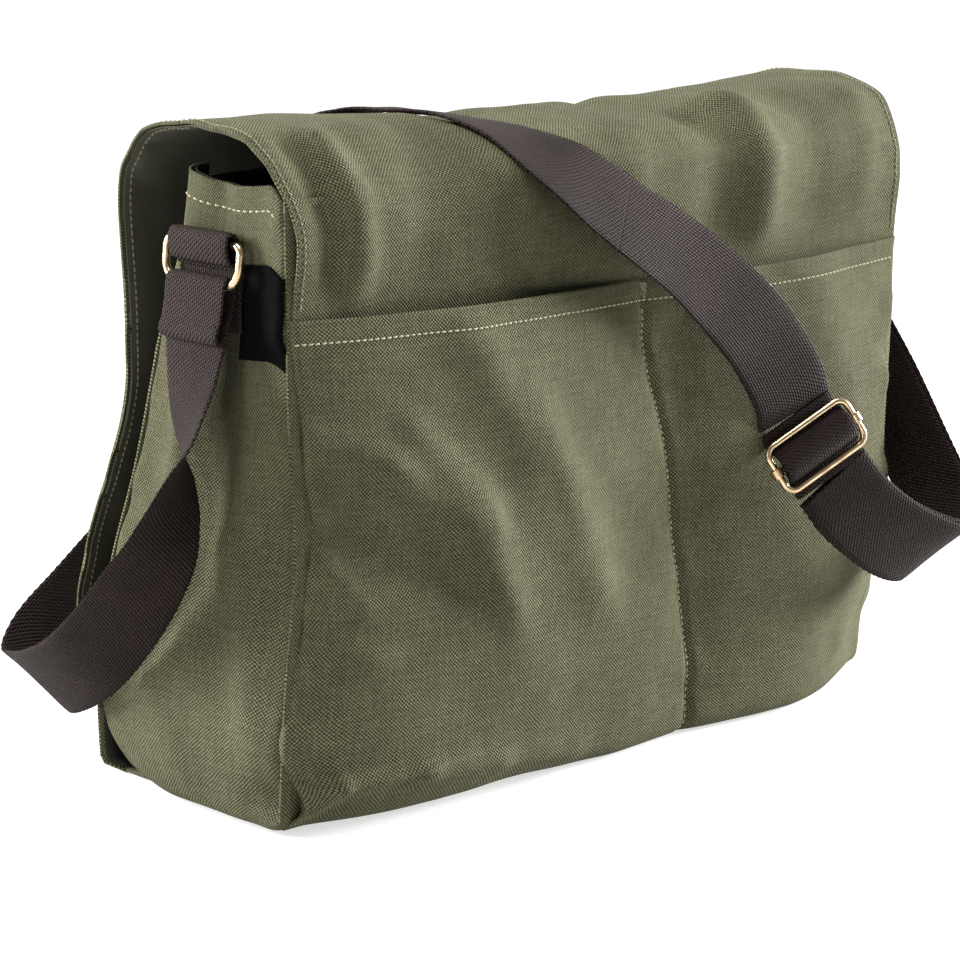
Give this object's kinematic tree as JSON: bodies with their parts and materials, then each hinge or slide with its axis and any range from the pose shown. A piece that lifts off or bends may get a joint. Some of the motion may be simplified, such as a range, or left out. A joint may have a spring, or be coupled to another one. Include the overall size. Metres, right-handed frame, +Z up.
{
  "type": "messenger_bag",
  "caption": "Olive canvas messenger bag with full flap, divided back slip pocket, wire D-rings and brown webbing shoulder strap with sliding buckle",
  "frame": {"origin": "centre of the base, on the surface that the bag stands on", "axes": "+X along the bag to the end that the strap's sewn end hangs from, -Y to the front where the flap hangs, +Y to the back pocket, +Z up"},
  "size_m": [0.4393, 0.2332, 0.2967],
  "materials": {
    "olive_canvas": "washed cotton canvas, matte",
    "flap_lining": "smooth tightly woven lining",
    "body_lining": "black woven lining",
    "webbing": "ribbed cotton webbing, chocolate brown",
    "antique_brass_wire": "pale antique brass, polished wire",
    "black_patch": "fine black woven tape",
    "cream_thread": "cotton thread"
  },
  "bodies": {
    "bag": {"back_panel": "olive_canvas", "back_pocket_panel": "olive_canvas", "base_panel": "olive_canvas", "flap_root_canvas": "olive_canvas", "flap_root_lining": "flap_lining", "front_panel": "olive_canvas", "gusset_left": "olive_canvas", "gusset_right": "olive_canvas", "lining_back_panel": "body_lining", "lining_base_panel": "body_lining", "lining_front_panel": "body_lining", "lining_gusset_left": "body_lining", "lining_gusset_right": "body_lining", "pocket_bartack": "cream_thread", "pocket_seam_stitches": "cream_thread", "ring_tab_left": "webbing", "ring_tab_right": "webbing", "side_patch_left": "black_patch", "side_patch_right": "black_patch", "strap_adjust_run": "webbing", "strap_back_run": "webbing", "strap_return_run": "webbing", "strap_side_run": "webbing"},
    "flap_top": {"flap_top_canvas": "olive_canvas", "flap_top_lining": "flap_lining", "strap_top_run": "webbing"},
    "flap_front": {"flap_front_canvas": "olive_canvas", "flap_front_lining": "flap_lining", "strap_front_run": "webbing"},
    "ring_right": {"ring_right": "antique_brass_wire", "strap_fold_right": "webbing"},
    "ring_left": {"ring_left": "antique_brass_wire", "strap_fold_left": "webbing"},
    "slider": {"slider_frame": "antique_brass_wire", "strap_slider_run": "webbing"},
    "slider_bar": {"slider_bar": "antique_brass_wire", "strap_bar_end": "webbing"}
  },
  "joints": [
    {"name": "flap_rear_fold", "type": "hinge", "parent": "bag", "child": "flap_top", "pos_m": [0, 0.06, 0.263], "axis": [-1, 0, 0], "range_deg": [0, 100], "deforming": ["strap_side_run", "strap_top_run", "strap_back_run"]},
    {"name": "flap_front_fold", "type": "hinge", "parent": "flap_top", "child": "flap_front", "pos_m": [0, -0.048, 0.266], "axis": [-1, 0, 0], "range_deg": [0, 120], "deforming": ["strap_front_run"]},
    {"name": "ring_right_swing", "type": "hinge", "parent": "bag", "child": "ring_right", "pos_m": [0.1882, 0.012, 0.241], "axis": [0, -1, 0], "range_deg": [0, 70]},
    {"name": "ring_left_swing", "type": "hinge", "parent": "bag", "child": "ring_left", "pos_m": [-0.1882, 0.012, 0.241], "axis": [0, 1, 0], "range_deg": [0, 70], "deforming": ["strap_adjust_run", "strap_return_run"]},
    {"name": "slider_slide", "type": "slide", "parent": "bag", "child": "slider", "axis": [-0.399, 0.3491, -0.8479], "range_m": [0, 0.04], "deforming": ["strap_slider_run"]},
    {"name": "slider_bar_slide", "type": "slide", "parent": "slider", "child": "slider_bar", "axis": [-0.399, 0.3491, -0.8479], "range_m": [-0.004, 0.004], "deforming": ["strap_bar_end"]}
  ]
}
